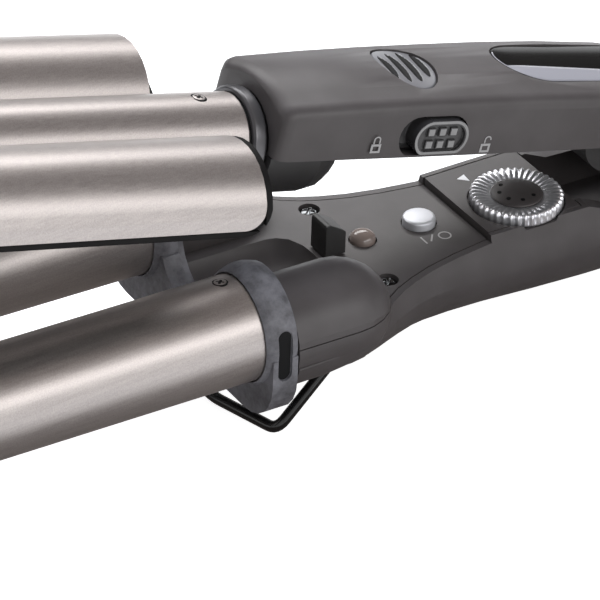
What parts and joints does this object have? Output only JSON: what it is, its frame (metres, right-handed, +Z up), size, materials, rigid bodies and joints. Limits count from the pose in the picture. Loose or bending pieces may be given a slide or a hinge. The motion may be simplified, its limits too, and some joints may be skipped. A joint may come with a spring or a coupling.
{
  "type": "hair waver",
  "caption": "Hair waver with two lower barrels, a middle barrel between two half shells on a sprung upper arm, temperature dial, power button, lock slider and wire stand.",
  "frame": {"origin": "on the surface the waver lies on, under the middle of its bounding box, with the arms open", "axes": "+X from the barrels to the hinge and the cord gland, +Z up, +Y to the side of the far barrel"},
  "size_m": [0.3098, 0.0804, 0.1223],
  "materials": {
    "handle_plastic": "fine satin",
    "dark_plastic": "satin",
    "liner_plastic": "heat-proof, matt",
    "collar_plastic": "mottled, heat-proof",
    "barrel_coating": "satin titanium coat on aluminium",
    "ring_metal": "polished",
    "silver_plastic": "satin silver",
    "window_gloss": "gloss black",
    "lens_amber": "clear amber",
    "light_white": null,
    "steel": null,
    "wire_black": "gloss black coat on steel wire",
    "heater_ceramic": null,
    "board": null
  },
  "bodies": {
    "lower_arm": {"lower_housing": "handle_plastic", "deck_cover": "handle_plastic", "dial_panel": "handle_plastic", "barrel_collar": "collar_plastic", "near_barrel": "barrel_coating", "far_barrel": "barrel_coating", "near_heater": "heater_ceramic", "far_heater": "heater_ceramic", "near_tip_cap": "dark_plastic", "far_tip_cap": "dark_plastic", "near_deck_screw": "steel", "far_deck_screw": "steel", "stop_post": "dark_plastic", "light_lens": "lens_amber", "power_light": "light_white", "power_switch": "dark_plastic", "potentiometer": "dark_plastic", "circuit_board": "board", "hinge_pin": "steel", "hinge_spring": "steel"},
    "upper_arm": {"upper_cover": "handle_plastic", "upper_underside": "dark_plastic", "finger_pad": "dark_plastic", "label_window": "window_gloss", "middle_barrel": "barrel_coating", "middle_heater": "heater_ceramic", "barrel_ring": "ring_metal", "upper_tip_cap": "dark_plastic", "near_shell": "barrel_coating", "far_shell": "barrel_coating", "near_liner": "liner_plastic", "far_liner": "liner_plastic"},
    "temperature_dial": {"dial_ring": "silver_plastic", "dial_hub": "handle_plastic", "dial_shaft": "steel"},
    "button": {"power_button": "silver_plastic"},
    "lock": {"lock_slider": "dark_plastic"},
    "stand": {"wire_stand": "wire_black"},
    "gland": {"cord_gland": "dark_plastic"}
  },
  "joints": [
    {"name": "arm_closing", "type": "hinge", "parent": "lower_arm", "child": "upper_arm", "pos_m": [0.12469, 0, 0.02549], "axis": [0, -1, 0], "range_deg": [0, 13.6], "stiffness_Nm_per_rad": 0.45, "springref_deg": -68.75},
    {"name": "dial_turn", "type": "hinge", "parent": "lower_arm", "child": "temperature_dial", "pos_m": [0.07679, -0.005, 0.02851], "axis": [0.0607, 0, 0.9982], "range_deg": [-140, 140]},
    {"name": "button_press", "type": "slide", "parent": "lower_arm", "child": "button", "axis": [-0.0607, 0, -0.9982], "range_m": [0, 0.0012], "stiffness_N_per_m": 500, "springref_m": -0.002},
    {"name": "lock_slide", "type": "slide", "parent": "upper_arm", "child": "lock", "axis": [-0.9559, 0, 0.2937], "range_m": [0, 0.003]},
    {"name": "stand_fold", "type": "hinge", "parent": "lower_arm", "child": "stand", "pos_m": [0.01377, 0, 0.01861], "axis": [0, -1, 0], "range_deg": [0, 108]},
    {"name": "gland_swivel", "type": "hinge", "parent": "lower_arm", "child": "gland", "pos_m": [0.14334, 0, 0.01083], "axis": [0.9982, 0, -0.0607], "continuous": true}
  ]
}
